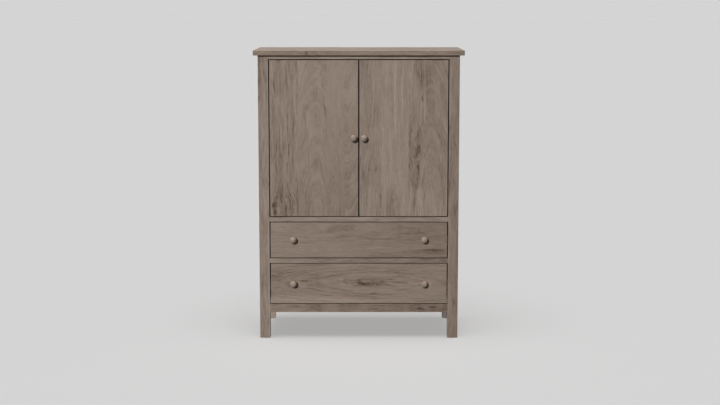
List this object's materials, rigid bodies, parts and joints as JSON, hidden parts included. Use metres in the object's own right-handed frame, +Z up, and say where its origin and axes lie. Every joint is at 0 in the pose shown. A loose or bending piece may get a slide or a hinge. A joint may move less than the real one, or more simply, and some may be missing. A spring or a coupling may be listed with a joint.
{
  "type": "computer armoire",
  "caption": "Freestanding wooden computer armoire on square legs: inset slab doors close a workstation bay with keyboard tray and shelves, over wide drawers with round knobs.",
  "frame": {"origin": "on the floor, in the middle of the outline seen from above", "axes": "+Z up, +X to the right seen from the front, +Y to the back; the doors and drawers face -Y"},
  "size_m": [1.016, 0.514, 1.412],
  "materials": {
    "stained_wood": "satin lacquer over a grey-brown stain",
    "stained_panel": "satin lacquer over a grey-brown stain",
    "drawer_box_wood": "clear satin lacquer",
    "zinc_steel": "bright zinc plating",
    "hinge_bronze": "dark bronze patina",
    "glide_nylon": "smooth nylon",
    "grommet_plastic": "matte",
    "catch_plastic": "matte"
  },
  "bodies": {
    "case": {"top_panel": "stained_wood", "front_left_post": "stained_wood", "front_right_post": "stained_wood", "rear_left_post": "stained_wood", "rear_right_post": "stained_wood", "front_top_rail": "stained_wood", "front_middle_rail": "stained_wood", "front_drawer_rail": "stained_wood", "front_bottom_rail": "stained_wood", "left_side_top_rail": "stained_wood", "left_side_bottom_rail": "stained_wood", "left_side_panel": "stained_panel", "right_side_top_rail": "stained_wood", "right_side_bottom_rail": "stained_wood", "right_side_panel": "stained_panel", "back_top_rail": "stained_wood", "back_bottom_rail": "stained_wood", "back_panel": "stained_panel", "compartment_floor": "stained_panel", "monitor_shelf": "stained_panel", "upper_shelf": "stained_panel", "inner_cleats": "drawer_box_wood", "shelf_pins": "zinc_steel", "runner_case_members": "zinc_steel", "top_clips": "zinc_steel", "case_screws": "zinc_steel", "hinge_case_leaves": "hinge_bronze", "leg_glides": "glide_nylon", "cable_grommets": "grommet_plastic", "door_catch": "catch_plastic"},
    "left_door": {"left_door_panel": "stained_wood", "left_door_knob": "stained_wood", "left_door_hinge_leaves": "hinge_bronze", "left_door_strike_plate": "zinc_steel"},
    "right_door": {"right_door_panel": "stained_wood", "right_door_knob": "stained_wood", "right_door_hinge_leaves": "hinge_bronze", "right_door_strike_plate": "zinc_steel"},
    "upper_drawer": {"upper_drawer_front": "stained_wood", "upper_drawer_box_front": "drawer_box_wood", "upper_drawer_left_side": "drawer_box_wood", "upper_drawer_right_side": "drawer_box_wood", "upper_drawer_back": "drawer_box_wood", "upper_drawer_bottom": "drawer_box_wood", "upper_drawer_knobs": "stained_wood", "upper_runner_drawer_members": "zinc_steel"},
    "upper_runner": {"upper_runner_middle_members": "zinc_steel"},
    "lower_drawer": {"lower_drawer_front": "stained_wood", "lower_drawer_box_front": "drawer_box_wood", "lower_drawer_left_side": "drawer_box_wood", "lower_drawer_right_side": "drawer_box_wood", "lower_drawer_back": "drawer_box_wood", "lower_drawer_bottom": "drawer_box_wood", "lower_drawer_knobs": "stained_wood", "lower_runner_drawer_members": "zinc_steel"},
    "lower_runner": {"lower_runner_middle_members": "zinc_steel"},
    "keyboard_tray": {"keyboard_tray_panel": "stained_panel", "keyboard_tray_front_rail": "stained_wood", "keyboard_tray_side_rails": "drawer_box_wood", "keyboard_tray_runner_members": "zinc_steel"}
  },
  "joints": [
    {"name": "left_door_hinge", "type": "hinge", "parent": "case", "child": "left_door", "pos_m": [-0.422, -0.224, 0.987], "axis": [0, 0, -1], "range_deg": [0, 110]},
    {"name": "right_door_hinge", "type": "hinge", "parent": "case", "child": "right_door", "pos_m": [0.422, -0.224, 0.987], "axis": [0, 0, 1], "range_deg": [0, 110]},
    {"name": "upper_drawer_slide", "type": "slide", "parent": "case", "child": "upper_drawer", "axis": [0, -1, 0], "range_m": [0, 0.38]},
    {"name": "upper_runner_slide", "type": "slide", "parent": "case", "child": "upper_runner", "axis": [0, -1, 0], "range_m": [0, 0.19]},
    {"name": "lower_drawer_slide", "type": "slide", "parent": "case", "child": "lower_drawer", "axis": [0, -1, 0], "range_m": [0, 0.38]},
    {"name": "lower_runner_slide", "type": "slide", "parent": "case", "child": "lower_runner", "axis": [0, -1, 0], "range_m": [0, 0.19]},
    {"name": "keyboard_tray_slide", "type": "slide", "parent": "case", "child": "keyboard_tray", "axis": [0, -1, 0], "range_m": [0, 0.04]}
  ],
  "couplings": [
    {"joint": "upper_runner_slide", "follows": "upper_drawer_slide", "ratio": 0.5},
    {"joint": "lower_runner_slide", "follows": "lower_drawer_slide", "ratio": 0.5}
  ]
}
